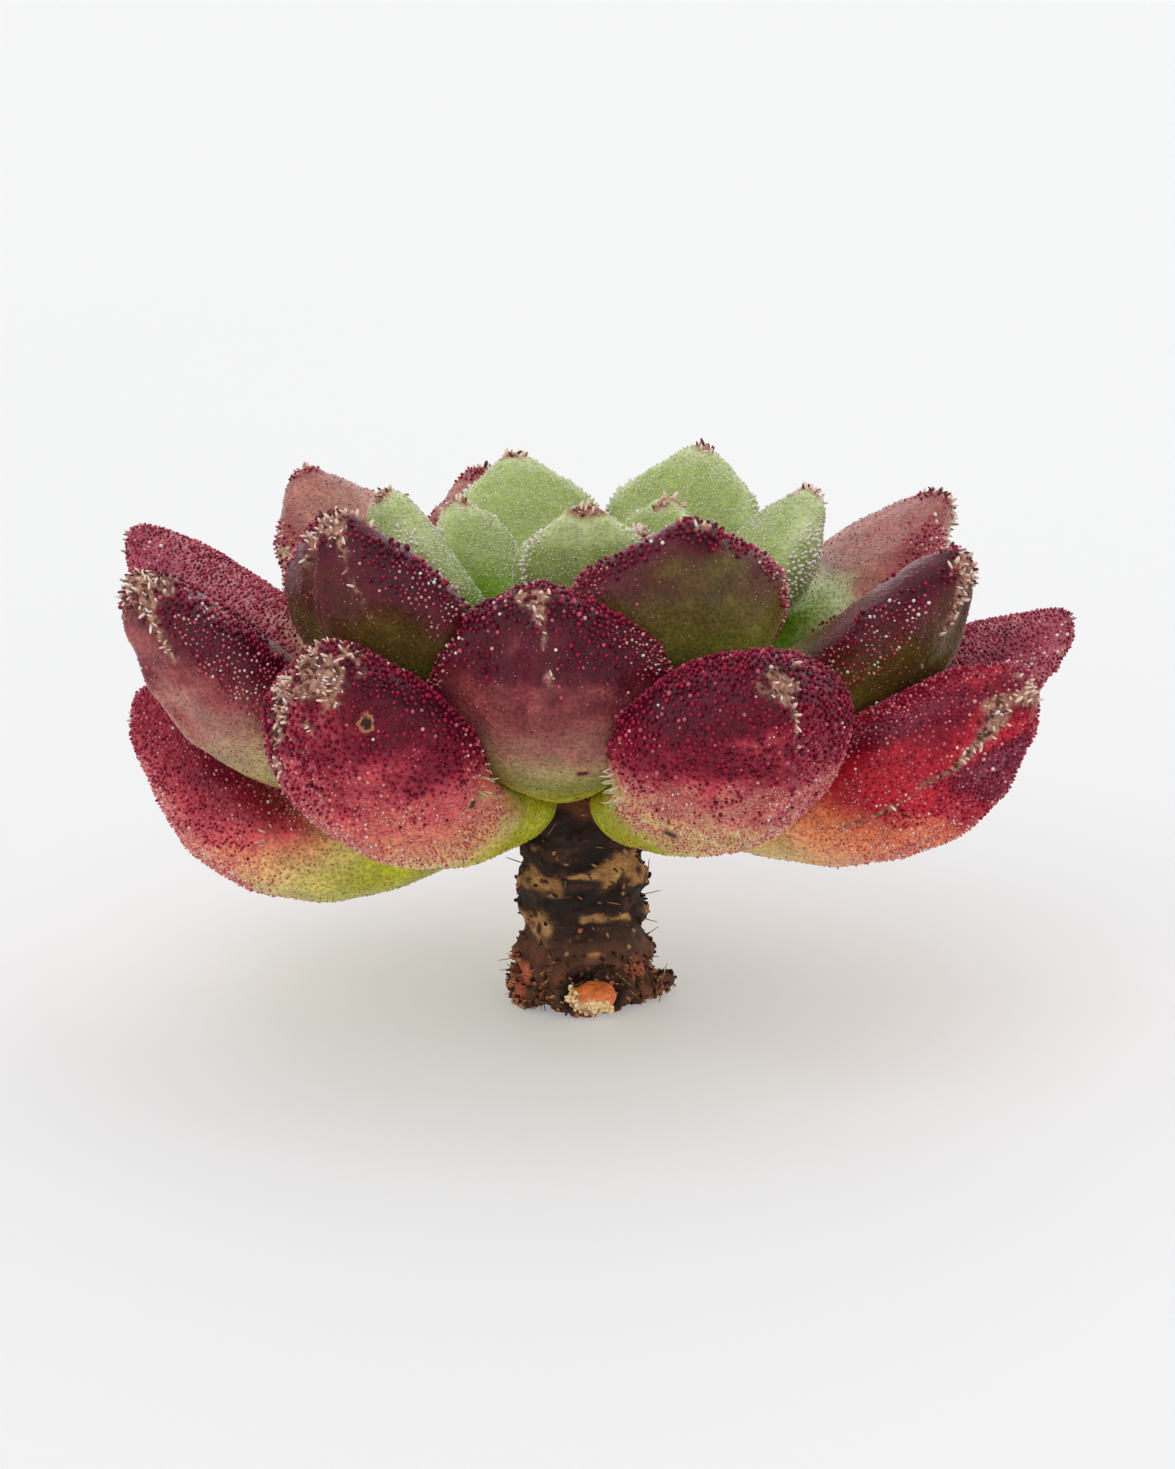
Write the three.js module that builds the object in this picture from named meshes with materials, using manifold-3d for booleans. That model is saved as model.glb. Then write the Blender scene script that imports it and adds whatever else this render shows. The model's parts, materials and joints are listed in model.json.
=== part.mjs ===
// A succulent rosette cutting: fat, pointed leaves packed in a spiral round the top of a short cut stem.
// Units are millimetres, +Z is up, and the cutting stands on its cut end at z = 0.
import * as THREE from "three";
import { mergeVertices } from "three/addons/utils/BufferGeometryUtils.js";
import Module from "manifold-3d";

const wasm = await Module();
wasm.setup();

// Driving dimensions.
const STEM_RADIUS = 3.5; // of the bare woody stem
const STEM_BUMP = 0.22; // depth of the old leaf scars on it
const SCAR_PITCH = 2.1; // height from one row of scars to the next
const FOOT_RADIUS = 4.3; // of the torn, flared cut end
const FOOT_HEIGHT = 3.2; // of the flare
const CROWN_START = 10.4; // height where the lowest leaf leaves the stem
const CROWN_TOP = 20.2; // top of the growing point inside the rosette
const CROWN_TOP_RADIUS = 0.8;
const STUB_AZIMUTH = -82; // where the torn root stub sits on the foot, in degrees from +X towards +Y
const STUB_SIZE = new THREE.Vector3(1.5, 1.2, 0.85); // half-widths of the stub
const STUB_HEIGHT = 1.25; // of the stub's middle
const GAP = 0.3; // left between neighbouring pieces
const NECK_WIDTH = 0.34; // leaf width at its base, as a share of its full width
const NECK_THICKNESS = 0.45; // leaf thickness at its base, as a share of its full thickness
const NECK_HOLD = 1.25; // how far up the leaf its neck stays narrow: 1 widens it at once
const WIDEST_AT = 0.74; // share of the leaf's length where it is widest, unless the leaf has its own
const FATTEST_AT = 0.6; // share of the leaf's length where it is thickest
const FLAT_TOP = 0.36; // share of the thickness that lies above the leaf's centre line
const END_CAP = 0.07; // share of the length over which the base rounds off

// Leaves from the oldest, lowest one to the youngest. azimuth is where the tip points, in degrees from +X towards +Y;
// reach and tip are the tip's distance from the stem's axis and its height; bow is how far the leaf's middle hangs
// below a straight line from base to tip; roll turns the leaf about its own length; widest is where it is widest.
const LEAVES = [
  { azimuth: 171, reach: 23.6, tip: 16.9, width: 12.4, thick: 6.4, bow: 5.8, roll: 8, widest: 0.58 },
  { azimuth: 296, reach: 22.4, tip: 23.5, width: 13.2, thick: 9.0, bow: 0.9, roll: 0 },
  { azimuth: 76, reach: 24.0, tip: 19.5, width: 12.0, thick: 6.0, bow: 3.4, roll: 0 },
  { azimuth: 233, reach: 21.5, tip: 24.2, width: 12.4, thick: 7.6, bow: 3.6, roll: 6 },
  { azimuth: 338, reach: 24.3, tip: 21.0, width: 12.8, thick: 7.8, bow: 3.2, roll: -10, widest: 0.64 },
  { azimuth: 128, reach: 24.0, tip: 19.0, width: 12.0, thick: 6.0, bow: 3.2, roll: -6 },
  { azimuth: 36, reach: 24.0, tip: 20.0, width: 11.5, thick: 5.8, bow: 3.0, roll: 7 },
  { azimuth: 199, reach: 24.2, tip: 25.6, width: 11.4, thick: 6.4, bow: 3.2, roll: 8 },
  { azimuth: 10, reach: 26.5, tip: 20.4, width: 10.5, thick: 5.6, bow: 2.0, roll: -6 },
  { azimuth: 262, reach: 15.5, tip: 26.8, width: 13.6, thick: 6.4, bow: 2.8, roll: 0 },
  { azimuth: 98, reach: 22.0, tip: 23.0, width: 11.0, thick: 5.6, bow: 2.6, roll: 5 },
  { azimuth: 166, reach: 25.0, tip: 24.8, width: 10.5, thick: 5.4, bow: 2.4, roll: 6 },
  { azimuth: 56, reach: 21.0, tip: 23.4, width: 10.5, thick: 5.4, bow: 2.4, roll: -5 },
  { azimuth: 347, reach: 20.0, tip: 26.0, width: 10.8, thick: 5.8, bow: 2.6, roll: -8 },
  { azimuth: 136, reach: 21.3, tip: 26.3, width: 10.5, thick: 5.2, bow: 2.4, roll: 0 },
  { azimuth: 222, reach: 16.6, tip: 29.5, width: 13.2, thick: 5.8, bow: 2.6, roll: 4 },
  { azimuth: 33, reach: 23.6, tip: 25.3, width: 10.0, thick: 5.0, bow: 2.0, roll: -6 },
  { azimuth: 295, reach: 12.6, tip: 29.3, width: 13.2, thick: 5.6, bow: 2.4, roll: -4 },
  { azimuth: 107, reach: 20.0, tip: 25.2, width: 9.5, thick: 4.6, bow: 2.0, roll: 0 },
  { azimuth: 65, reach: 15.3, tip: 27.6, width: 10.0, thick: 4.4, bow: 1.8, roll: 0 },
  { azimuth: 105, reach: 14.5, tip: 27.2, width: 9.4, thick: 4.4, bow: 1.8, roll: 0 },
  { azimuth: 22, reach: 13.1, tip: 27.3, width: 8.6, thick: 4.2, bow: 1.6, roll: -6 },
  { azimuth: 186, reach: 10.2, tip: 28.6, width: 8.6, thick: 4.2, bow: 1.6, roll: 5 },
  { azimuth: 272, reach: 5.6, tip: 28.9, width: 7.4, thick: 3.4, bow: 1.2, roll: 0 },
  { azimuth: 145, reach: 8.3, tip: 26.8, width: 7.0, thick: 3.2, bow: 1.2, roll: 0 },
  { azimuth: 44, reach: 6.2, tip: 27.0, width: 6.6, thick: 3.0, bow: 1.0, roll: 0 },
  { azimuth: 332, reach: 3.0, tip: 26.6, width: 6.0, thick: 2.4, bow: 1.0, roll: 0 },
  { azimuth: 204, reach: 1.8, tip: 26.2, width: 5.6, thick: 2.2, bow: 1.0, roll: 0 },
  { azimuth: 78, reach: 0.8, tip: 25.6, width: 4.8, thick: 2.0, bow: 1.0, roll: 0 },
  { azimuth: 292, reach: -0.4, tip: 24.6, width: 3.8, thick: 1.7, bow: 0.9, roll: 0 },
];

const lerp = THREE.MathUtils.lerp;
const smooth = (x) => THREE.MathUtils.smoothstep(x, 0, 1);
const twoDigits = (n) => String(n).padStart(2, "0");

// Radius of the leaf-bearing crown at a height: it narrows from the stem to the growing point.
function crownRadius(height) {
  const share = THREE.MathUtils.clamp((height - CROWN_START) / (CROWN_TOP - CROWN_START), 0, 1);
  return lerp(STEM_RADIUS, CROWN_TOP_RADIUS, share ** 1.3);
}

// The leaf's centre line, from its base on the crown to its tip, and the level direction across it.
function leafLine(leaf, order) {
  const share = order / (LEAVES.length - 1);
  const foot = lerp(CROWN_START + 1.2, CROWN_TOP + 0.6, share ** 1.1);
  const azimuth = THREE.MathUtils.degToRad(leaf.azimuth);
  const outward = new THREE.Vector3(Math.cos(azimuth), Math.sin(azimuth), 0);
  const base = outward.clone().multiplyScalar(crownRadius(foot) + GAP).setZ(foot);
  const tip = outward.clone().multiplyScalar(leaf.reach).setZ(leaf.tip);
  const across = new THREE.Vector3(-outward.y, outward.x, 0);
  const down = new THREE.Vector3().subVectors(tip, base).normalize().cross(across).negate();
  const middle = base.clone().lerp(tip, 0.5).addScaledVector(down, 2 * leaf.bow);
  return { curve: new THREE.QuadraticBezierCurve3(base, middle, tip), across };
}

// Half-widths of the leaf at a share of its length: a narrow neck, a wide blade and a blunt tip.
function leafSize(leaf, along, margin) {
  const cap = along < END_CAP ? Math.sqrt(1 - (1 - along / END_CAP) ** 2) : 1;
  const widest = leaf.widest ?? WIDEST_AT;
  const pastWidest = Math.max(0, (along - widest) / (1 - widest));
  const pastFattest = Math.max(0, (along - FATTEST_AT) / (1 - FATTEST_AT));
  const side = lerp(NECK_WIDTH, 1, smooth(along / widest) ** NECK_HOLD) * (1 - pastWidest ** 1.9) ** 0.85;
  const depth = lerp(NECK_THICKNESS, 1, smooth(along / FATTEST_AT)) * (1 - pastFattest ** 2.6) ** 0.62;
  return {
    side: cap * (side * leaf.width / 2 + margin),
    upper: cap * (depth * leaf.thick * FLAT_TOP + margin),
    lower: cap * (depth * leaf.thick * (1 - FLAT_TOP) + margin),
  };
}

// A leaf's surface: a sphere whose poles become the base and the tip, and whose rings become its sections.
function leafGeometry(leaf, order, margin = 0) {
  const big = leaf.width > 8;
  const geometry = new THREE.SphereGeometry(1, big ? 16 : 11, big ? 11 : 8);
  const { curve, across } = leafLine(leaf, order);
  const at = geometry.getAttribute("position");
  const point = new THREE.Vector3();
  for (let i = 0; i < at.count; i++) {
    point.fromBufferAttribute(at, i);
    const along = THREE.MathUtils.clamp((1 - point.y) / 2, 0, 1);
    const turn = Math.atan2(point.z, point.x);
    const ring = Math.hypot(point.x, point.z) > 1e-6 ? 1 : 0;
    const size = leafSize(leaf, along, margin);
    const centre = curve.getPoint(along);
    const tangent = curve.getTangent(along);
    centre.addScaledVector(tangent, (2 * along - 1) * margin);
    const side = across.clone().applyAxisAngle(tangent, THREE.MathUtils.degToRad(leaf.roll));
    const up = new THREE.Vector3().crossVectors(tangent, side);
    const lift = Math.sin(turn);
    centre.addScaledVector(side, ring * size.side * Math.cos(turn));
    centre.addScaledVector(up, ring * (lift > 0 ? size.upper : size.lower) * lift);
    at.setXYZ(i, centre.x, centre.y, centre.z);
  }
  return geometry;
}

// The stem with its flared cut end, its leaf scars and the crown that bears the leaves.
function stemGeometry() {
  const profile = [new THREE.Vector2(0, 0)];
  for (let z = 0; z <= CROWN_START; z += 0.8) {
    const flare = (FOOT_RADIUS - STEM_RADIUS) * (1 - smooth(z / FOOT_HEIGHT));
    profile.push(new THREE.Vector2(STEM_RADIUS + flare, z));
  }
  for (let share = 0.15; share <= 1; share += 0.17) {
    const z = lerp(CROWN_START, CROWN_TOP, share);
    profile.push(new THREE.Vector2(crownRadius(z), z));
  }
  profile.push(new THREE.Vector2(0, CROWN_TOP + 0.3));
  const geometry = new THREE.LatheGeometry(profile, 20);
  geometry.rotateX(Math.PI / 2);
  const at = geometry.getAttribute("position");
  for (let i = 0; i < at.count; i++) {
    const [x, y, z] = [at.getX(i), at.getY(i), at.getZ(i)];
    const turn = Math.atan2(y, x);
    const scars = Math.sin(2 * turn + (2 * Math.PI * z) / SCAR_PITCH) * STEM_BUMP;
    const ragged = 0.35 * Math.sin(3 * turn + 1) * (1 - smooth(z / FOOT_HEIGHT));
    const grow = 1 + (z < CROWN_START ? (scars + ragged) / STEM_RADIUS : 0);
    at.setXYZ(i, x * grow, y * grow, z);
  }
  return geometry;
}

// The torn root stub: a small soft lump bedded in the front of the foot.
function stubGeometry(margin = 0) {
  const geometry = new THREE.SphereGeometry(1, 12, 8);
  const turn = THREE.MathUtils.degToRad(STUB_AZIMUTH);
  geometry.scale(STUB_SIZE.x + margin, STUB_SIZE.y + margin, STUB_SIZE.z + margin);
  geometry.rotateZ(turn + Math.PI / 2);
  return geometry.translate(Math.cos(turn) * FOOT_RADIUS, Math.sin(turn) * FOOT_RADIUS, STUB_HEIGHT);
}

// Turns a three.js geometry into a solid that can be cut.
function solidOf(geometry) {
  const bare = geometry.clone();
  bare.deleteAttribute("normal");
  bare.deleteAttribute("uv");
  const merged = mergeVertices(bare, 1e-4);
  return new wasm.Manifold(
    new wasm.Mesh({
      numProp: 3,
      vertProperties: new Float32Array(merged.getAttribute("position").array),
      triVerts: new Uint32Array(merged.index.array),
    }),
  );
}

// The way back: a solid's largest body as a geometry.
function geometryOf(solid) {
  const largest = solid.decompose().sort((a, b) => b.volume() - a.volume())[0];
  const mesh = largest.getMesh();
  const geometry = new THREE.BufferGeometry();
  geometry.setAttribute("position", new THREE.BufferAttribute(new Float32Array(mesh.vertProperties), 3));
  geometry.setIndex(new THREE.BufferAttribute(new Uint32Array(mesh.triVerts), 1));
  geometry.computeVertexNormals();
  return geometry;
}

const COLOURS = {
  outer: new THREE.Color(0.42, 0.07, 0.12),
  middle: new THREE.Color(0.36, 0.16, 0.14),
  inner: new THREE.Color(0.42, 0.58, 0.25),
  bark: new THREE.Color(0.13, 0.08, 0.05),
  stub: new THREE.Color(0.62, 0.22, 0.1),
};

function namedMesh(name, geometry, colour, roughness) {
  const mesh = new THREE.Mesh(geometry, new THREE.MeshStandardMaterial({ color: colour, roughness, metalness: 0 }));
  mesh.name = name;
  return mesh;
}

function leafColour(order) {
  const share = order / (LEAVES.length - 1);
  if (share < 0.36) return COLOURS.outer;
  return share < 0.64 ? COLOURS.middle : COLOURS.inner;
}

// Puts the middle of the whole cutting's footprint on the z axis.
function centre(group) {
  const box = new THREE.Box3().setFromObject(group);
  const middle = box.getCenter(new THREE.Vector3());
  group.children.forEach((mesh) => mesh.geometry.translate(-middle.x, -middle.y, -box.min.z));
}

function buildCutting() {
  const cutting = new THREE.Group();
  const stem = solidOf(stemGeometry());
  const stub = solidOf(stubGeometry());
  const socket = solidOf(stubGeometry(GAP));
  cutting.add(namedMesh("stem", geometryOf(stem.subtract(socket)), COLOURS.bark, 0.9));
  cutting.add(namedMesh("root_stub", geometryOf(stub), COLOURS.stub, 0.7));

  // Younger leaves keep their full shape, and each older one is pressed in where a younger one or the stem touches it.
  const grown = [];
  for (let order = LEAVES.length - 1; order >= 0; order--) {
    const leaf = LEAVES[order];
    let solid = solidOf(leafGeometry(leaf, order));
    for (const other of grown) {
      if (solid.intersect(other).volume() > 0) solid = solid.subtract(other);
    }
    grown.push(solidOf(leafGeometry(leaf, order, GAP)));
    const geometry = geometryOf(solid.subtract(stem));
    cutting.add(namedMesh(`leaf_${twoDigits(order + 1)}`, geometry, leafColour(order), 0.5));
  }
  centre(cutting);
  return cutting;
}

export default buildCutting();
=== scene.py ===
"""A succulent rosette cutting: fat, papillose leaves round the top of a short, torn, woody stem.

Shapes are worked out in millimetres and handed to Blender in metres.
"""

import itertools
import json
import math

import bmesh
import bpy
import numpy as np
from mathutils import Matrix, Vector
from mathutils.bvhtree import BVHTree


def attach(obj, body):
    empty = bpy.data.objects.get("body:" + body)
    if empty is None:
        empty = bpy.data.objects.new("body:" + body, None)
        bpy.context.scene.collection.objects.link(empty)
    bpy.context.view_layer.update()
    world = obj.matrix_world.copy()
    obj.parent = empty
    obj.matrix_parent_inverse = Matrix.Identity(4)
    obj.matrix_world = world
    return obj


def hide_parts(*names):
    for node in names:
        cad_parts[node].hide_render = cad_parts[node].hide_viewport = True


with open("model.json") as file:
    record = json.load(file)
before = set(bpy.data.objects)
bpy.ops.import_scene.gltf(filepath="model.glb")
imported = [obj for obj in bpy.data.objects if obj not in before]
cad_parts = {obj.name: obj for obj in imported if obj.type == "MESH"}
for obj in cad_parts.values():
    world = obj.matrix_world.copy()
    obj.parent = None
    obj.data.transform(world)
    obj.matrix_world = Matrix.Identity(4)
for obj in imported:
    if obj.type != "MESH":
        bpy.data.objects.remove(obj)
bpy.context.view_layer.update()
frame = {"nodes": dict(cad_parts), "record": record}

MM = 0.001  # metres in a millimetre
LEAF_VOXEL = 0.24  # mesh size of the leaf skins
STEM_VOXEL = 0.15  # mesh size of the stem
STUB_VOXEL = 0.08  # mesh size of the root stub
LEAF_ROUNDS = 34  # rounds of evening out that take the facets off a leaf
STEM_ROUNDS = 14  # the same for the stem
STUB_ROUNDS = 6  # the same for the root stub
STUB_TRIM = (0.86, 1, 0.9)  # shrinks the root stub, so that the foot's hollow shows round it
FULL_LENGTH = 18  # of a grown leaf: shorter leaves swell and pucker less
STRIPS = 20  # strips across a leaf, each with its own half-width
LEAST_REACH = 0.5  # the least half-width that a leaf is taken to have
SPOTS_PER_LEAF = 60  # spots tried for papillae on a leaf, times the square of its length
SPOTS_ON_STEM = 6500  # spots tried for flakes and fibres
SPOTS_ON_STUB = 420  # spots tried for crumbs
PEG_SPACING = 2.1  # least distance between two papillae, in radii
PEG_GAP = 0.03  # and what is added to that distance
PEG_ROOM = 0.34  # least distance from a papilla's foot to another CAD leaf
PEG_SIDES = 6  # sides of one papilla
PEG_RINGS = ((-0.2, 0.85), (0.4, 1.0), (0.82, 0.7))  # heights in lengths, and half-widths in radii
FLOOR_GAP = 0.01  # least height of a papilla or a loose bit
RING_SPACING = 2.1  # between the rings of leaf scars on the stem
LEAF_SEED = 100  # of the first leaf's random values
SEEDS_PER_LEAF = 10  # a leaf's noises use the seeds just after its own

FLOOR_SIZE = 6.0  # of the pale floor, in metres
FLOOR_GLOW = 0.285  # strength of the floor's own faint light
CAMERA_DISTANCE = 0.33  # metres from the middle of the plant
CAMERA_ELEVATION = 15.0  # degrees above the horizon
CAMERA_LENS = 149.0  # focal length in mm
SENSOR_WIDTH = 36  # in mm
TARGET_RIGHT = 0.24  # where the camera looks, to the right of the stem's axis
TARGET_HEIGHT = 14.75  # and above the floor

# Albedos in 8-bit sRGB.
HUES = {
    "lime": (176, 178, 40),
    "moss": (118, 122, 48),
    "olive": (98, 84, 36),
    "hay": (202, 180, 108),
    "sand": (158, 138, 92),
    "peach": (216, 146, 100),
    "orange": (222, 120, 68),
    "blush": (190, 112, 98),
    "rose": (198, 84, 86),
    "cherry": (162, 52, 64),
    "rust": (142, 76, 54),
    "taupe": (156, 104, 90),
    "mauve": (138, 66, 66),
    "scarlet": (172, 26, 42),
    "crimson": (108, 6, 32),
    "maroon": (56, 6, 22),
    "umber": (78, 40, 26),
    "dusk": (164, 88, 98),
    "wine": (118, 40, 60),
    "plum": (86, 20, 34),
    "leaf": (116, 150, 36),
    "sage": (154, 168, 98),
    "pale": (188, 198, 146),
    "bark": (40, 20, 12),
    "soil": (88, 58, 42),
    # char darkens the leaf scars, and is also painted shade in the hollow round the root stub.
    "char": (22, 13, 9),
    "cream": (180, 138, 88),
    "tawny": (150, 84, 54),
    "salmon": (206, 110, 84),
    "pith": (240, 130, 76),
    "crumb": (240, 208, 158),
    "prick": (70, 34, 26),
    "scab": (88, 46, 42),
    "straw": (196, 150, 128),
    "callus": (178, 118, 80),
    "wound": (44, 26, 18),
    "fibre": (210, 170, 130),
    "grey_paper": (188, 188, 188),
    "white_paper": (193, 193, 193),
}
CRACK_SHADE = (0.25, 0.2, 0.18, 1)  # a tint that darkens the bark in its cracks

# Skin colour from a leaf's shaded base (0) to its ripe, sunlit tip (1).
PALETTES = {
    "crimson": "0 lime, 0.08 lime, 0.14 hay, 0.28 peach, 0.45 rose, 0.54 cherry, 0.64 crimson, 0.86 maroon",
    "scarlet": "0 hay, 0.08 hay, 0.2 peach, 0.36 orange, 0.5 scarlet, 0.7 scarlet, 0.8 crimson, 0.94 wine",
    "rose": "0 lime, 0.1 lime, 0.28 hay, 0.42 peach, 0.54 rose, 0.66 cherry, 0.9 crimson",
    "pink": "0 lime, 0.1 lime, 0.2 hay, 0.32 hay, 0.42 blush, 0.5 cherry, 0.62 crimson, 0.84 maroon",
    "dusky": "0 lime, 0.26 hay, 0.42 taupe, 0.6 dusk, 0.9 wine",
    "mauve": "0 lime, 0.12 lime, 0.24 moss, 0.36 sand, 0.46 taupe, 0.57 mauve, 0.68 plum, 0.9 maroon",
    "umber": "0 leaf, 0.34 leaf, 0.5 moss, 0.62 olive, 0.76 umber, 0.86 plum, 1.02 maroon",
    "blushed": "0 leaf, 0.38 leaf, 0.55 sage, 0.65 pale, 0.76 taupe, 0.9 mauve, 1.1 plum",
    "green": "0 leaf, 0.34 leaf, 0.56 sage, 0.74 sage, 0.95 pale, 1.08 rust, 1.18 umber",
}

# How ripe the skin is, before its own shift, where dense beads take over from finer papillae.
BEADS_FROM = {
    "crimson": 0.46,
    "scarlet": 0.5,
    "rose": 0.56,
    "pink": 0.47,
    "dusky": 0.5,
    "mauve": 0.74,
    "umber": 0.85,
    "blushed": 0.9,
}
HAZE_BAND = 0.09  # how much riper again the skin is where small beads give way to full ones
DOWN_BAND = 0.24  # how much less ripe it is where down begins
DOWNY = ("crimson", "scarlet", "rose", "pink")  # palettes of the leaves with fine down below their beads
HAZY = ("scarlet", "rose", "dusky", "blushed")  # palettes of the leaves whose beads are small and pale

# How each leaf looks. ripen shifts its colours towards the tip's, and flush does so on its lower face near
# the tip. crust is how far round its tip it has dried, in mm. It has also dried along a line, given by its
# place from -1 to 1 between the margins, its length and its half-width. wounds are small scars, each given by
# its place along the leaf, from 0 to 1, and its place between the margins.
PLAIN = {"palette": "green", "ripen": 0.0, "flush": 0.0, "crust": 1.0, "line": (0.0, 0.5, 0.5), "wounds": ()}
STYLES = {
    "leaf_01": {"palette": "rose", "crust": 0.8},
    "leaf_02": {
        "palette": "pink",
        "ripen": -0.02,
        "crust": 1.6,
        "line": (0.1, 3.6, 0.5),
        "wounds": ((0.59, -0.62),),
    },
    "leaf_03": {"palette": "scarlet", "crust": 1.5, "wounds": ((0.6, 0.3),)},
    "leaf_04": {
        "palette": "crimson",
        "crust": 3.0,
        "line": (-0.66, 8.0, 1.6),
        "wounds": ((0.93, 0.74), (0.58, 0.9)),
    },
    "leaf_05": {
        "palette": "scarlet",
        "flush": 0.42,
        "crust": 1.6,
        "line": (-0.8, 12.0, 0.36),
        "wounds": ((0.46, -0.95),),
    },
    "leaf_06": {"palette": "rose", "ripen": 0.04, "crust": 1.5, "wounds": ((0.7, -0.4),)},
    "leaf_07": {"palette": "crimson", "ripen": -0.06, "crust": 1.5},
    "leaf_08": {"palette": "mauve", "ripen": 0.01, "crust": 1.9, "line": (0.7, 5.0, 0.6)},
    "leaf_09": {"palette": "dusky", "crust": 0.8},
    "leaf_10": {
        "palette": "mauve",
        "ripen": 0.03,
        "crust": 1.4,
        "line": (0.15, 4.4, 0.6),
        "wounds": ((0.57, 0.3),),
    },
    "leaf_11": {"palette": "rose", "crust": 1.5, "wounds": ((0.6, 0.5),)},
    "leaf_12": {"palette": "dusky", "ripen": -0.1, "crust": 0.8},
    "leaf_13": {"palette": "blushed", "crust": 1.2},
    "leaf_14": {"palette": "umber", "ripen": 0.13, "crust": 1.8, "line": (-0.5, 5.0, 0.8)},
    "leaf_15": {"palette": "blushed", "ripen": 0.03, "crust": 0.8},
    "leaf_16": {"palette": "umber", "ripen": 0.15, "crust": 2.2, "line": (0.5, 4.0, 0.6)},
    "leaf_17": {"palette": "blushed", "ripen": 0.07, "crust": 1.2, "line": (-0.62, 6.5, 0.7)},
    "leaf_18": {"palette": "umber", "crust": 1.2},
    "leaf_19": {"palette": "blushed", "ripen": 0.04, "crust": 1.2},
}

# Finishes of the papillae: albedo, roughness and how much light passes through.
PAPILLAE = {
    "garnet": ((104, 6, 40), 0.2, 0.0),
    "ruby": ((150, 18, 56), 0.16, 0.0),
    "petal": ((196, 84, 106), 0.18, 0.0),
    "blush": ((220, 150, 142), 0.2, 0.0),
    "clear": ((242, 232, 226), 0.14, 0.1),
    "green": ((196, 210, 150), 0.2, 0.1),
    "chaff": ((238, 210, 192), 0.6, 0.0),
    "ash": ((184, 136, 122), 0.7, 0.0),
    "husk": ((98, 58, 50), 0.7, 0.0),
}

# Kinds of coat: how likely a papilla is at a spot, its radius in mm, its length in radii, and its finishes
# with the share of each.
COATS = {
    "specks": (0.1, 0.035, 1.6, {"petal": 2, "blush": 1, "husk": 1}),
    "frost": (0.5, 0.045, 1.9, {"clear": 3, "green": 2}),
    "fringe": (1.0, 0.095, 2.2, {"clear": 5, "green": 1}),
    "down": (0.7, 0.055, 2.2, {"blush": 4, "petal": 3, "clear": 0.6}),
    "beads": (1.0, 0.12, 1.8, {"garnet": 7, "ruby": 7, "petal": 0.8}),
    "haze": (1.0, 0.08, 1.7, {"garnet": 1, "ruby": 4, "petal": 3, "blush": 0.6}),
    "rim": (0.8, 0.08, 2.0, {"ruby": 4, "petal": 4, "blush": 2, "clear": 0.5}),
    "drops": (0.7, 0.1, 1.7, {"clear": 2, "blush": 3, "petal": 6}),
    "bristles": (0.05, 0.05, 12.0, {"chaff": 2, "green": 3}),
    "chips": (1.0, 0.1, 3.5, {"chaff": 6, "ash": 3, "husk": 3, "clear": 1}),
}

# Loose bits of the stem: albedo, roughness and how much light passes through.
BITS = {
    "dark": ((50, 32, 22), 0.85, 0.0),
    "soil": ((96, 64, 44), 0.85, 0.0),
    "tan": ((172, 130, 86), 0.75, 0.0),
    "rosy": ((186, 104, 80), 0.7, 0.0),
    "crumb": ((242, 214, 168), 0.6, 0.0),
}

# Noise takes its values from a list, by a hash of the cell's three numbers.
PRIMES = np.array([73856093, 19349663, 83492791])
LATTICE = np.random.default_rng(7).uniform(-1, 1, 8192)

NEIGHBOURS = tuple(itertools.product((-1, 0, 1), repeat=3))  # of a cell, itself too


# ---------------------------------------------------------------- small maths


def unit(vectors):
    """The same directions with length one."""
    return vectors / np.maximum(np.linalg.norm(vectors, axis=-1, keepdims=True), 1e-9)


def smooth(x, low=0.0, high=1.0):
    """0 below low, 1 above high and a smooth rise between them."""
    share = np.clip((x - low) / (high - low), 0, 1)
    return share * share * (3 - 2 * share)


def noise(points, size, seed):
    """Smooth noise from -1 to 1, with features about size across."""
    grid = points / size + 31.7 * seed
    cell = np.floor(grid).astype(np.int64)
    part = smooth(grid - cell)
    total = np.zeros(len(points))
    for corner in itertools.product((0, 1), repeat=3):
        weight = np.prod(np.where(corner, part, 1 - part), axis=1)
        total += weight * LATTICE[((cell + corner) @ PRIMES) % len(LATTICE)]
    return total


def linear(hue):
    """An 8-bit sRGB colour as linear light."""
    share = np.asarray(hue, float) / 255
    return np.where(share <= 0.04045, share / 12.92, ((share + 0.055) / 1.055) ** 2.4)


def opaque(hue):
    """An 8-bit sRGB colour as the value of a colour socket."""
    return (*linear(hue), 1.0)


def ramp(palette, where):
    """Colours read off a palette."""
    stops = [stop.split() for stop in palette.split(", ")]
    places = [float(place) for place, _ in stops]
    colours = np.array([linear(HUES[name]) for _, name in stops])
    return np.stack([np.interp(where, places, colours[:, k]) for k in range(3)], axis=1)


# ---------------------------------------------------------------- mesh tools


def coordinates(mesh):
    co = np.empty(len(mesh.vertices) * 3, np.float32)
    mesh.vertices.foreach_get("co", co)
    return co.reshape(-1, 3).astype(float)


def directions(mesh):
    """The vertex normals."""
    values = np.empty(len(mesh.vertices) * 3, np.float32)
    mesh.vertex_normals.foreach_get("vector", values)
    return values.reshape(-1, 3).astype(float)


def move(mesh, co):
    mesh.vertices.foreach_set("co", co.astype(np.float32).ravel())
    mesh.update()


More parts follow.
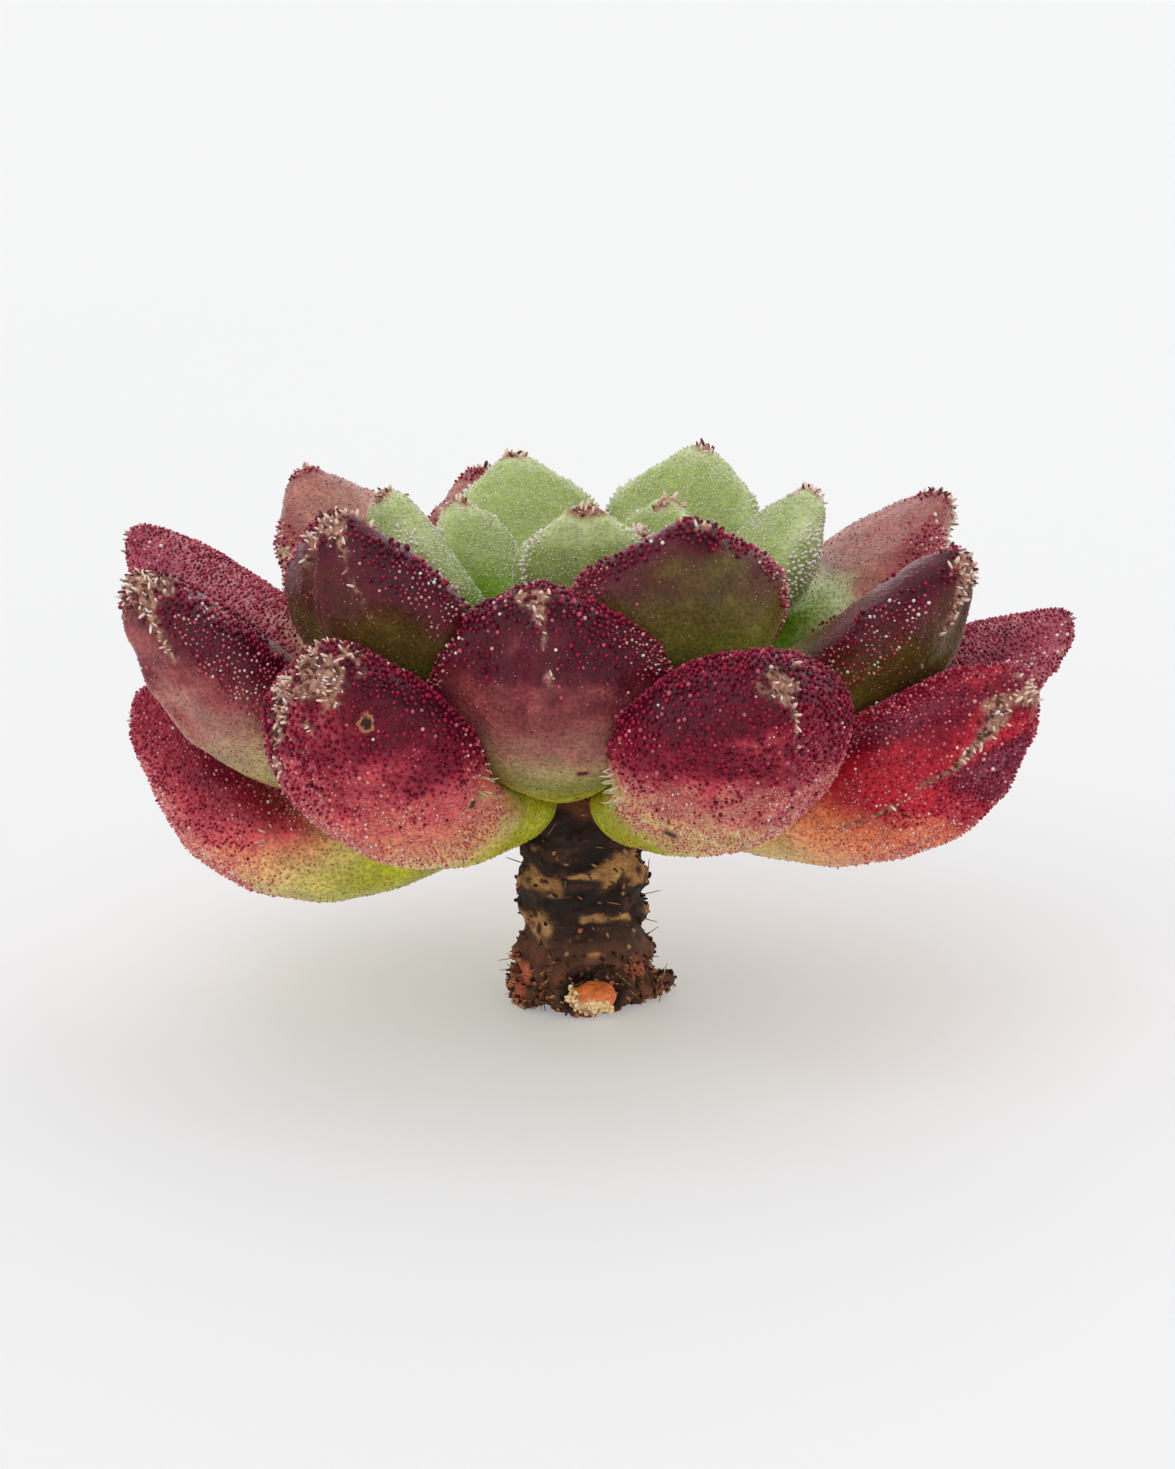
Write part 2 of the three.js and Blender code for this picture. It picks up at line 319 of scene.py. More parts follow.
def even_mesh(node, voxel):
    """A closed copy of a CAD node in millimetres, made of even faces about one voxel across."""
    mesh = frame["nodes"][node].data.copy()
    mesh.transform(Matrix.Scale(1 / MM, 4))
    shell = bmesh.new()
    shell.from_mesh(mesh)
    bmesh.ops.remove_doubles(shell, verts=shell.verts, dist=1e-4)
    shell.to_mesh(mesh)
    shell.free()
    piece = bpy.data.objects.new("even", mesh)
    bpy.context.scene.collection.objects.link(piece)
    modifier = piece.modifiers.new("even", "REMESH")
    modifier.mode = "VOXEL"
    modifier.voxel_size = voxel
    even = bpy.data.meshes.new_from_object(piece.evaluated_get(bpy.context.evaluated_depsgraph_get()))
    bpy.data.objects.remove(piece)
    bpy.data.meshes.remove(mesh)
    even.materials.clear()
    return even


def relax(mesh, rounds):
    """Evens out facets: each vertex moves halfway to the mean of its neighbours, round after round."""
    edges = np.empty(len(mesh.edges) * 2, np.int32)
    mesh.edges.foreach_get("vertices", edges)
    ends = np.concatenate([edges.reshape(-1, 2), edges.reshape(-1, 2)[:, ::-1]])
    co = coordinates(mesh)
    count = np.bincount(ends[:, 0], minlength=len(co))
    for _ in range(rounds):
        for k in range(3):
            mean = np.bincount(ends[:, 0], co[ends[:, 1], k], len(co)) / count
            co[:, k] += 0.5 * (mean - co[:, k])
    move(mesh, co)


def set_values(mesh, name, values):
    """Stores a number or a colour for every vertex."""
    if values.ndim == 1:
        mesh.attributes.new(name, "FLOAT", "POINT").data.foreach_set("value", values.astype(np.float32))
        return
    colours = np.column_stack([values, np.ones(len(values))]).astype(np.float32)
    mesh.attributes.new(name, "FLOAT_COLOR", "POINT").data.foreach_set("color", colours.ravel())


def piece_from(name, mesh, materials):
    """Makes a finished mesh, in millimetres, into a piece of the plant."""
    mesh.name = name
    mesh.transform(Matrix.Scale(MM, 4))
    mesh.shade_smooth()
    for material in materials:
        mesh.materials.append(material)
    piece = bpy.data.objects.new(name, mesh)
    bpy.context.scene.collection.objects.link(piece)
    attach(piece, "root")
    return piece


def peg_triangles():
    """The triangles of one peg: its sides, its blunt tip and its foot."""
    triangles = []
    for level, k in itertools.product(range(len(PEG_RINGS) - 1), range(PEG_SIDES)):
        a = level * PEG_SIDES + k
        b = level * PEG_SIDES + (k + 1) % PEG_SIDES
        triangles += [(a, b, b + PEG_SIDES), (a, b + PEG_SIDES, a + PEG_SIDES)]
    last = (len(PEG_RINGS) - 1) * PEG_SIDES
    for k in range(PEG_SIDES):
        triangles.append((last + k, last + (k + 1) % PEG_SIDES, last + PEG_SIDES))
    for k in range(1, PEG_SIDES - 1):
        triangles.append((0, k + 1, k))
    return np.array(triangles)


def peg_corners(pegs):
    """The corners of pegs that stand on a surface, ring by ring and then the top, one row for each peg."""
    at, way, radius, length = (pegs[key] for key in ("at", "way", "radius", "length"))
    side = unit(np.cross(way, (0.31, 0.84, 0.45)))
    other = pegs["flat"][:, None, None] * np.cross(way, side)[:, None]
    turn = np.arange(PEG_SIDES) * 2 * math.pi / PEG_SIDES
    ring = side[:, None] * np.cos(turn)[:, None] + other * np.sin(turn)[:, None]
    rings = [
        at[:, None] + way[:, None] * (length * height)[:, None, None] + ring * (radius * width)[:, None, None]
        for height, width in PEG_RINGS
    ]
    top = (at + way * length[:, None])[:, None]
    corners = np.concatenate([*rings, top], axis=1)
    corners[..., 2] = np.maximum(corners[..., 2], FLOOR_GAP)
    return corners


def peg_piece(name, pegs, materials):
    """Pegs as one piece of the plant.

    Each peg has its place (at), its direction (way), its radius, its length, how much it is squeezed
    (flat, where 1 is round) and the index of its material (finish).
    """
    corners = peg_corners(pegs)
    one = peg_triangles()
    starts = np.arange(len(corners))[:, None, None] * corners.shape[1]
    triangles = (one + starts).reshape(-1, 3)
    mesh = bpy.data.meshes.new(name)
    mesh.from_pydata(corners.reshape(-1, 3).astype(np.float32), [], triangles.astype(np.int32))
    mesh.polygons.foreach_set("material_index", np.repeat(pegs["finish"], len(one)).astype(np.int32))
    mesh.update()
    piece_from(name, mesh, materials)


def sprinkle(mesh, number, rng, **values):
    """Random points all over a mesh, each with the vertex values found there."""
    mesh.calc_loop_triangles()
    triangles = np.empty(len(mesh.loop_triangles) * 3, np.int32)
    mesh.loop_triangles.foreach_get("vertices", triangles)
    triangles = triangles.reshape(-1, 3)
    co = coordinates(mesh)
    edge_a = co[triangles[:, 1]] - co[triangles[:, 0]]
    edge_b = co[triangles[:, 2]] - co[triangles[:, 0]]
    area = np.linalg.norm(np.cross(edge_a, edge_b), axis=1)
    chosen = triangles[rng.choice(len(triangles), number, p=area / area.sum())]
    share = rng.dirichlet((1, 1, 1), number)
    fields = {"at": co, "way": directions(mesh), **values}
    return {key: np.einsum("nk,nk...->n...", share, value[chosen]) for key, value in fields.items()}


def rows(fields, which):
    """The same rows of every array in a set."""
    return {key: value[which] for key, value in fields.items()}


def spread(points, gaps):
    """Indices of the points that stay when each keeps at least its own gap from the ones before it."""
    size = gaps.max()
    cells = np.floor(points / size).astype(int)
    kept = {}
    chosen = []
    for i, (cell, point, gap) in enumerate(zip(map(tuple, cells), points.tolist(), gaps.tolist())):
        near = itertools.chain.from_iterable(
            kept.get((cell[0] + x, cell[1] + y, cell[2] + z), ()) for x, y, z in NEIGHBOURS
        )
        if all(math.dist(point, other) >= gap for other in near):
            kept.setdefault(cell, []).append(point)
            chosen.append(i)
    return np.array(chosen, int)


# ---------------------------------------------------------------- materials


def set_inputs(node, values):
    for key, value in values.items():
        node.inputs[key].default_value = value


def node_tree(name):
    """A new material and its shader, with short ways to add a node and to link two sockets."""
    material = bpy.data.materials.new(name)
    material.use_nodes = True
    tree = material.node_tree
    shader = tree.nodes["Principled BSDF"]

    def add(kind, links=(), **settings):
        """Adds a node. Its settings are attributes of the node or values of its inputs."""
        node = tree.nodes.new(kind)
        for key, value in settings.items():
            if hasattr(node, key):
                setattr(node, key, value)
            else:
                node.inputs[key].default_value = value
        for key, output in dict(links).items():
            tree.links.new(output, node.inputs[key])
        return node

    return material, shader, add, tree.links.new


def mix_colours(add, blend, factor, first, second):
    """A Mix node for colours: each of its inputs is an output socket, a number or a colour."""
    node = add("ShaderNodeMix", data_type="RGBA", blend_type=blend)
    for socket, value in ((node.inputs[0], factor), (node.inputs[6], first), (node.inputs[7], second)):
        if isinstance(value, bpy.types.NodeSocket):
            node.id_data.links.new(value, socket)
        else:
            socket.default_value = value
    return node.outputs[2]


def remap(add, output, low, high, to_low, to_high):
    """A Map Range node on an output."""
    node = add("ShaderNodeMapRange", {"Value": output})
    set_inputs(node, {"From Min": low, "From Max": high, "To Min": to_low, "To Max": to_high})
    return node.outputs["Result"]


def laid_over(add, share, colour, hue):
    """A colour with a named hue laid over it."""
    return mix_colours(add, "MIX", share, colour, opaque(HUES[hue]))


def clouds(add, place, **settings):
    """Soft random values from 0 to 1 over a place vector."""
    return add("ShaderNodeTexNoise", {"Vector": place}, **settings).outputs["Fac"]


def grey(add, output):
    """A number as a grey colour."""
    return add("ShaderNodeCombineColor", {0: output, 1: output, 2: output}).outputs[0]


def skin_colour(add, place, grain, cells, crust, mottle):
    """The painted tint under blotches, a pale net of cells, pinpricks, dried crust and ringed wounds."""
    tint = add("ShaderNodeAttribute", attribute_name="tint").outputs["Color"]
    scars = add("ShaderNodeAttribute", attribute_name="scars").outputs["Fac"]
    blotches = clouds(add, place, Scale=420.0, Detail=5.0, Roughness=0.62)
    pricks = add("ShaderNodeTexVoronoi", {"Vector": place}, Scale=900.0, Randomness=1.0).outputs["Distance"]
    shade = grey(add, remap(add, blotches, 0.3, 0.7, 1 - 0.28 * mottle, 1 + 0.25 * mottle))
    net = grey(add, remap(add, cells, 0.2, 0.8, 1 - 0.18 * mottle, 1 + 0.45 * mottle))
    shaded = mix_colours(add, "MULTIPLY", 1.0, tint, shade)
    netted = mix_colours(add, "MULTIPLY", 1.0, shaded, net)
    pricked = laid_over(add, remap(add, pricks, 0.05, 0.13, 0.5 * mottle, 0.0), netted, "prick")
    dry = laid_over(add, remap(add, grain, 0.35, 0.65, 0.0, 1.0), opaque(HUES["scab"]), "straw")
    crusted = mix_colours(add, "MIX", crust, pricked, dry)
    ringed = laid_over(add, remap(add, scars, 0.1, 0.3, 0.0, 1.0), crusted, "callus")
    return laid_over(add, remap(add, scars, 0.6, 0.95, 0.0, 1.0), ringed, "wound")


def skin_material(name, glow, reach, fuzz, mottle):
    """Leaf skin. glow and reach say how much light scatters in it and how far, mottle how uneven it is."""
    material, shader, add, link = node_tree(name)
    place = add("ShaderNodeTexCoord").outputs["Object"]
    crust = add("ShaderNodeAttribute", attribute_name="crust").outputs["Fac"]
    grain = clouds(add, place, Scale=2600.0, Detail=3.0, Roughness=0.6)
    cells = add("ShaderNodeTexVoronoi", {"Vector": place}, Scale=4200.0, Randomness=0.9).outputs["Distance"]
    link(skin_colour(add, place, grain, cells, crust, mottle), shader.inputs["Base Color"])

    rough = add("ShaderNodeMath", {0: remap(add, grain, 0.3, 0.7, 0.26, 0.42), 1: crust}, operation="ADD")
    rough.use_clamp = True
    link(rough.outputs[0], shader.inputs["Roughness"])
    relief = add("ShaderNodeBump", {"Height": cells}, Strength=0.5, Distance=0.00006).outputs[0]
    fine = add("ShaderNodeBump", {"Height": grain, "Normal": relief}, Strength=0.45, Distance=0.00009)
    link(fine.outputs[0], shader.inputs["Normal"])
    set_inputs(shader, {"Subsurface Weight": glow, "Subsurface Radius": reach, "Subsurface Scale": 0.0018})
    set_inputs(shader, {"Sheen Weight": fuzz, "Sheen Roughness": 0.35})
    set_inputs(shader, {"IOR": 1.42, "Specular IOR Level": 0.28})
    return material


def plain_material(name, hue, roughness, clearness):
    """A papilla, a chip or a loose bit, which is far too small to show any pattern of its own."""
    material, shader, _, _ = node_tree(name)
    set_inputs(shader, {"Base Color": opaque(hue), "Roughness": roughness, "Transmission Weight": clearness})
    set_inputs(shader, {"IOR": 1.4, "Specular IOR Level": 0.32})
    return material


def bark_material(name, roughness, bump):
    """Dry bark or torn pith: its painted tint, broken up by fibres, grain and dark cracks."""
    material, shader, add, link = node_tree(name)
    place = add("ShaderNodeTexCoord").outputs["Object"]
    tint = add("ShaderNodeAttribute", attribute_name="tint").outputs["Color"]
    stretched = add("ShaderNodeMapping", {"Vector": place}, Scale=(1.0, 1.0, 0.35)).outputs[0]
    fibres = clouds(add, stretched, Scale=2400.0, Detail=5.0, Roughness=0.7)
    lumps = clouds(add, place, Scale=700.0, Detail=6.0, Roughness=0.7)
    broken = add("ShaderNodeMapping", {"Vector": place}, Scale=(1.0, 1.0, 2.2)).outputs[0]
    cells = add("ShaderNodeTexVoronoi", {"Vector": broken}, feature="DISTANCE_TO_EDGE", Scale=1700.0)
    cracks = cells.outputs["Distance"]
    shade = grey(add, remap(add, lumps, 0.3, 0.7, 0.45, 1.5))
    shaded = mix_colours(add, "MULTIPLY", 1.0, tint, shade)
    threads = remap(add, fibres, 0.3, 0.7, 0.0, 0.7)
    fibrous = mix_colours(add, "SOFT_LIGHT", threads, shaded, opaque(HUES["fibre"]))
    gaps = remap(add, cracks, 0.0, 0.1, 0.45, 0.0)
    cracked = mix_colours(add, "MULTIPLY", gaps, fibrous, CRACK_SHADE)
    link(cracked, shader.inputs["Base Color"])
    link(remap(add, fibres, 0.3, 0.7, roughness - 0.1, roughness + 0.1), shader.inputs["Roughness"])
    coarse = add("ShaderNodeBump", {"Height": lumps}, Strength=bump, Distance=0.0003).outputs[0]
    fine = add("ShaderNodeBump", {"Height": fibres, "Normal": coarse}, Strength=bump, Distance=0.00012)
    link(fine.outputs[0], shader.inputs["Normal"])
    return material


def floor_material():
    """Matt, nearly white paper with a faint unevenness. It also glows faintly, painted light that lightens
    the plant's shadow on it.
    """
    material, shader, add, link = node_tree("pale_floor")
    place = add("ShaderNodeTexCoord").outputs["Object"]
    uneven = clouds(add, place, Scale=6.0, Detail=2.0)
    link(laid_over(add, uneven, opaque(HUES["grey_paper"]), "white_paper"), shader.inputs["Base Color"])
    set_inputs(shader, {"Roughness": 0.7, "Specular IOR Level": 0.2})
    set_inputs(shader, {"Emission Color": (1, 1, 1, 1), "Emission Strength": FLOOR_GLOW})
    return material


SKINS = {
    "outer_leaf": skin_material("outer_leaf_skin", 0.25, (1.0, 0.5, 0.2), fuzz=0.0, mottle=1.0),
    "middle_leaf": skin_material("middle_leaf_skin", 0.25, (1.0, 0.7, 0.25), fuzz=0.02, mottle=0.9),
    "inner_leaf": skin_material("inner_leaf_skin", 0.5, (1.0, 1.0, 0.4), fuzz=0.06, mottle=0.45),
}
PAPILLA_NAMES = list(PAPILLAE)
PAPILLA_MATERIALS = [plain_material(f"papilla_{name}", *PAPILLAE[name]) for name in PAPILLA_NAMES]
BIT_NAMES = list(BITS)
BIT_MATERIALS = [plain_material(f"bit_{name}", *BITS[name]) for name in BIT_NAMES]
SLOTS = {part["node"]: part["material_slot"] for part in frame["record"]["subparts"]}
LEAVES = sorted(node for node in frame["nodes"] if node.startswith("leaf_"))


# ---------------------------------------------------------------- leaves


def stem_axis():
    """Where the stem's axis meets the floor, and the height of its top, in millimetres."""
    co = coordinates(frame["nodes"]["stem"].data) / MM
    top = co[co[:, 2].argmax()]
    return top[0], top[1], top[2]


AXIS_X, AXIS_Y, STEM_TOP = stem_axis()
HEART = np.array([AXIS_X, AXIS_Y, 0.6 * STEM_TOP])  # inside the stem, where the lowest leaves start


def lie_of(co, normal):
    """How a leaf lies, and where each of its vertices is on it.

    along runs from 0 at its base to 1 at its tip, side from -1 to 1 between its margins,
    and face from -1 on its lower face to 1 on its upper one. reach is the leaf's half-width there.
    """
    far = np.linalg.norm(co - HEART, axis=1)
    base = co[far <= np.percentile(far, 2)].mean(axis=0)
    tip = co[far.argmax()]
    forward = unit(tip - base)
    off_line = (co - base) - np.outer((co - base) @ forward, forward)
    across = unit(np.linalg.svd(off_line - off_line.mean(axis=0), full_matrices=False)[2][0])
    across *= np.sign(across @ np.cross((0, 0, 1), forward))
    along = np.clip((co - base) @ forward / np.linalg.norm(tip - base), 0, 1)
    offset = (co - co.mean(axis=0)) @ across
    half = np.zeros(STRIPS + 1)
    np.maximum.at(half, (along * STRIPS).astype(int), np.abs(offset))
    middles = np.arange(STRIPS + 1) + 0.5
    reach = np.maximum(np.interp(along * STRIPS, middles, half), LEAST_REACH)
    return {
        "along": along,
        "side": np.clip(offset / reach, -1, 1),
        "reach": reach,
        "face": normal @ np.cross(forward, across),
        "forward": forward,
        "length": np.linalg.norm(tip - base),
        "from_tip": np.linalg.norm(co - tip, axis=1),
    }


def leaf_shape(node, seed):
    """A leaf's mesh and its lie: plump, puckered, keeled below, and wrinkled and drawn out at the tip."""
    mesh = even_mesh(node, LEAF_VOXEL)
    relax(mesh, LEAF_ROUNDS)
    co, normal = coordinates(mesh), directions(mesh)
    lie = lie_of(co, normal)
    size = min(1.0, lie["length"] / FULL_LENGTH)
    keel = np.exp(-((lie["side"] / 0.16) ** 2)) * smooth(-lie["face"], 0.2, 0.9)
    keel *= smooth(lie["along"], 0.45, 0.85)
    puckers = 0.16 * noise(co, 2.6, seed) + 0.07 * noise(co, 1.1, seed + 1)
    tip = smooth(lie["along"], 0.9, 1.0)
    wrinkles = 0.14 * np.abs(noise(co * (1, 1, 0.8), 0.7, seed + 2)) * smooth(lie["along"], 0.72, 1.0)
    swell = size * (0.12 + 0.4 * keel + puckers * (0.4 + 0.6 * lie["along"])) - wrinkles * size
    co = co + normal * swell[:, None] + np.outer(tip**2 * 0.7 * size, lie["forward"])
    move(mesh, co)
    return mesh, lie


def ripeness_and_flank_light(co, normal, lie, style, seed):
    """How ripe the skin is at each vertex, partly painted light: riper towards the tip and the sky, less so
    inside the margins.
    """
    # Facing the sky is partly real reddening by the sun and partly painted light: it keeps the down-facing
    # flanks pale pink, as if lit through their papillae.
    sky = 0.5 + 0.5 * normal[:, 2]
    inside = smooth(lie["face"], 0.0, 0.7)
    edge = smooth(np.abs(lie["side"]), 0.6, 1.0)
    tip = 1 - smooth(lie["from_tip"], 0.3, 1.8)
    patches = 0.04 * noise(co, 3.4, seed + 3) + 0.025 * noise(co, 0.9, seed + 4)
    ripe = smooth(lie["along"], 0.05, 0.8) * (0.3 + 0.7 * sky) - 0.2 * inside * (1 - edge) + 0.25 * tip
    flush = smooth(-lie["face"], 0.35, 0.6) * smooth(lie["along"], 0.76, 0.9)
    return ripe + patches + style["ripen"] + style["flush"] * flush


def crust_of(co, lie, style, seed):
    """Where the skin has dried, from 0 to 1: in ragged patches round the tip and along a line from it."""
    place, length, half = style["line"]
    off = np.abs(lie["side"] - place) * lie["reach"] + 3 * smooth(lie["face"], 0.1, 0.5)
    ragged = 0.6 * noise(co, 1.1, seed + 5) + 0.5 * noise(co, 0.45, seed + 6)
    line = 0.9 - off / half - 0.7 * lie["from_tip"] / length + 0.5 * ragged
    cap = 0.8 - lie["from_tip"] / style["crust"] + ragged
    return smooth(np.maximum(cap, line), 0.1, 0.45)


def scars_of(co, lie, style, rng):
    """The skin's small ragged wounds, from 0 round them to 1 in their middles."""
    scars = np.zeros(len(co))
    for along, side in style["wounds"]:
        miss = np.abs(lie["along"] - along) * lie["length"] + np.abs(lie["side"] - side) * lie["reach"]
        spot = np.argmin(miss + 9 * smooth(lie["face"], -0.1, 0.3))
        wide = rng.uniform(0.4, 0.7)
        away = np.linalg.norm(co - co[spot], axis=1) + 0.4 * wide * noise(co, 0.3, spot % 97)
        scars = np.maximum(scars, 1 - smooth(away, 0.5 * wide, wide))
    return scars


def others_tree(node):
    """A search tree of every CAD leaf except one, in millimetres."""
    corners, faces = [], []
    for other in LEAVES:
        if other == node:
            continue
        mesh = frame["nodes"][other].data
        start = len(corners)
        corners.extend((coordinates(mesh) / MM).tolist())
        faces.extend([[start + v for v in polygon.vertices] for polygon in mesh.polygons])
    return BVHTree.FromPolygons(corners, faces)


def open_to_air(points, tree, room):
    """Which points have at least this much room to the nearest other leaf."""
    return np.array([tree.find_nearest(point, room)[0] is None for point in points.tolist()], bool)


def choose(rng, number, shares, names):
    """Random indices into the names, in the given shares."""
    weights = np.array([shares.get(name, 0) for name in names], float)
    return rng.choice(len(names), number, p=weights / weights.sum())


def coat_of(spots, style, rng):
    """Which kind of coat grows at each spot. Where several could, the first in the list does."""
    number = len(spots["ripe"])
    palette = style["palette"]
    side, face = np.abs(spots["side"]), np.abs(spots["face"])
    margin = (side > 0.86) & (face < 0.6)
    dried = spots["crust"] > rng.uniform(0.35, 0.8, number)
    if palette == "green":
        return np.select([dried, margin], ["chips", "fringe"], "frost")
    beads_from = BEADS_FROM[palette]
    ripe = spots["ripe"] - style["ripen"] + rng.normal(0, 0.035, number)
    rough = ripe + 0.1 * noise(spots["at"], 1.9, 40)
    beads = rough > beads_from
    cluster = noise(spots["at"], 1.3, 41) > 0.45
    drops = cluster & (ripe > beads_from - 0.1) & (rng.uniform(0, 1, number) < 0.28)
    bead = "haze" if palette in HAZY else "beads"
    if palette not in DOWNY:
        where = [dried, drops, margin & (ripe > 0.4), beads]
        return np.select(where, ["chips", "drops", "rim", bead], "specks")
    # Bristles stand like a comb along the margins, a little nearer to the base than to the tip.
    comb = (side > 0.93) & (face < 0.35) & (np.abs(spots["along"] - 0.44) < 0.17)
    where = [dried, comb, drops, rough > beads_from + HAZE_BAND, beads, ripe > beads_from - DOWN_BAND]
    return np.select(where, ["chips", "bristles", "drops", bead, "haze", "down"], "specks")


def draw_pegs(coat, rng):
    """Whether a papilla grows at each spot, from the coat there, and its finish, radius and length."""
    number = len(coat)
    grows = np.zeros(number, bool)
    finish = np.zeros(number, int)
    radius, length = np.zeros(number), np.zeros(number)
    for kind, (chance, wide, long, shares) in COATS.items():
        mine = coat == kind
        grows[mine] = rng.uniform(0, 1, mine.sum()) < chance
        finish[mine] = choose(rng, mine.sum(), shares, PAPILLA_NAMES)
        radius[mine] = wide * rng.uniform(0.75, 1.25, mine.sum())
        length[mine] = long * radius[mine] * rng.uniform(0.8, 1.2, mine.sum())
    return grows, {"finish": finish, "radius": radius, "length": length}


def grow_papillae(node, mesh, lie, marks, style, rng):
    """All of a leaf's papillae, margin bristles and dry chips, as one piece."""
    places = {key: lie[key] for key in ("along", "side", "face")}
    spots = sprinkle(mesh, int(SPOTS_PER_LEAF * lie["length"] ** 2), rng, **marks, **places)
    spots = rows(spots, (spots["along"] > 0.05) & (spots["scars"] < 0.3))
    coat = coat_of(spots, style, rng)
    grows, pegs = draw_pegs(coat, rng)
    chips = coat == "chips"
    lean = np.where(chips, 0.6, 0.16)[:, None] * rng.normal(0, 1, (len(coat), 3))
    pegs["at"] = spots["at"]
    pegs["way"] = unit(unit(spots["way"]) + 0.3 * lie["forward"] + lean)
    pegs["flat"] = np.where(chips, 0.5, 1.0)
    pegs = rows(pegs, grows)
    pegs = rows(pegs, spread(pegs["at"], PEG_SPACING * pegs["radius"] + PEG_GAP))
    pegs = rows(pegs, open_to_air(pegs["at"], others_tree(node), PEG_ROOM))
    peg_piece(f"{node}_papillae", pegs, PAPILLA_MATERIALS)


def build_leaf(node, seed):
    """A leaf's skin and its coat, from its CAD solid."""
    style = {**PLAIN, **STYLES.get(node, {})}
    rng = np.random.default_rng(seed)
    mesh, lie = leaf_shape(node, seed)
    co, normal = coordinates(mesh), directions(mesh)
    marks = {
        "ripe": ripeness_and_flank_light(co, normal, lie, style, seed),
        "crust": crust_of(co, lie, style, seed),
        "scars": scars_of(co, lie, style, rng),
    }
    grow_papillae(node, mesh, lie, marks, style, rng)
    set_values(mesh, "tint", ramp(PALETTES[style["palette"]], marks["ripe"]))
    set_values(mesh, "crust", marks["crust"])
    set_values(mesh, "scars", marks["scars"])
    skin = piece_from(f"{node}_skin", mesh, [SKINS[SLOTS[node]]])
    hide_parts(node)


# ---------------------------------------------------------------- stem


def band(values, middle, half, soft):
    """1 within half of the middle, falling to 0 over soft more."""
    return 1 - smooth(np.abs(values - middle), half, half + soft)


def patch(turn, height, azimuth, half_turn, middle, half_height):
    """A soft-edged patch on the stem's side. azimuth, from +X towards +Y, and half_turn are in degrees."""
    off = (np.degrees(turn) - azimuth + 180) % 360 - 180
    return band(off, 0, half_turn, 12) * band(height, middle, half_height, 0.45)


def tinted(tint, hue, share):
    """A tint with a hue laid over it."""
    return tint + (linear(HUES[hue]) - tint) * share[:, None]


def stem_tint(co, turn, rings, stub_hollow_shade):
    """Dark bark with paler patches between the leaf scars, a torn foot the colour of soil, and painted shade
    in the hollow round the root stub.
    """
    height = co[:, 2] + 0.5 * noise(co, 1.0, 70)
    flat = co * (1, 1, 2.4)
    rough = noise(flat, 1.6, 56)
    tint = np.tile(linear(HUES["bark"]), (len(co), 1))
    tint = tinted(tint, "soil", 1 - smooth(height, 3.0, 5.2))
    tint = tinted(tint, "tawny", smooth(height, 10.6, 12.4))
    crumbled = smooth(noise(co, 0.6, 65), 0.05, 0.5) * (1 - smooth(height, 2.4, 4.6))
    tint = tinted(tint, "tawny", 0.55 * crumbled)
    tint = tinted(tint, "soil", 0.5 * smooth(noise(flat, 0.7, 57), 0.1, 0.4))
    pale = smooth(-rings, 0.2, 0.7) * smooth(rough, 0.2, 0.4) * band(height, 6.3, 2.6, 0.6)
    pale = np.maximum(pale, patch(turn + 0.25 * rough, height, -42, 24, 7.5, 0.8))
    pale = np.maximum(pale, patch(turn, height + 1.2 * np.sin(turn + 2.3), -134, 17, 7.0, 0.3))
    pale = np.maximum(pale, patch(turn + 0.3 * rough, height, -136, 9, 4.7, 0.6))
    tint = tinted(tint, "cream", pale * smooth(noise(co, 0.5, 58), -0.55, -0.1))
    scars = smooth(rings, 0.35, 0.75) * smooth(rough, -0.25, 0.05) * band(height, 7.4, 2.6, 0.8)
    tint = tinted(tint, "char", 0.85 * scars)
    torn = smooth(noise(co, 1.2, 59), 0.25, 0.5) * (1 - smooth(height, 1.6, 3.0))
    torn = np.maximum(torn, patch(turn + 0.2 * rough, height, -158, 14, 1.3, 0.9))
    tint = tinted(tint, "salmon", 0.8 * torn)
    # Painted shade: the hollow round the root stub is darkened nearly to black.
    return tinted(tint, "char", 0.88 * stub_hollow_shade)


def stem_lie(co, normal, stub_middle):
    """How far round the stem each vertex is, and how much it belongs to the foot, a ring, the lip over the
    stub or the stub's hollow, which gets painted shade.
    """
    height = co[:, 2]
    turn = np.arctan2(co[:, 1] - AXIS_Y, co[:, 0] - AXIS_X)
    wave = height + 0.5 * np.sin(2 * turn + 0.6) + 0.45 * noise(co, 2.2, 55)
    away = np.linalg.norm((co - stub_middle) * (1, 1, 1.35), axis=1)
    outside = smooth(-normal[:, 1], 0.0, 0.3)
    return {
        "turn": turn,
        "foot": 1 - smooth(height, 0.8, 3.6),
        "bare": 1 - smooth(height, 10.5, 12.5),
        "rings": np.cos(wave * 2 * math.pi / RING_SPACING),
        "lip": band(away, 2.5, 0.15, 0.4) * outside * smooth(height - stub_middle[2], -0.2, 0.4),
        # Where shade is painted: the front of the hollow that the root stub sits in.
        "stub_hollow_shade": band(away, 0, 1.8, 0.3) * outside,
    }


def stem_shape(co, normal, lie):
    """The stem's vertices with lumps, rings, a torn foot that stands unevenly, and a lip above the stub."""
    lumps = 0.28 * noise(co, 1.4, 50) + 0.16 * noise(co, 0.6, 51) + 0.07 * noise(co, 0.28, 52)
    torn = 0.42 * noise(co, 1.1, 53) + 0.26 * np.abs(noise(co, 0.45, 54))
    rings = 0.16 * smooth(lie["rings"], 0.1, 0.7)
    swell = lie["bare"] * (lumps - rings) + lie["foot"] * torn + 0.38 * lie["lip"]
    co = co + normal * swell[:, None]
    rim = smooth(np.hypot(co[:, 0] - AXIS_X, co[:, 1] - AXIS_Y), 2.2, 3.4)
    notch = np.clip(0.1 + 0.9 * noise(co * (1, 1, 0), 1.2, 63), 0, 0.8)
    co[:, 2] = np.maximum(co[:, 2], rim * notch)
    return co


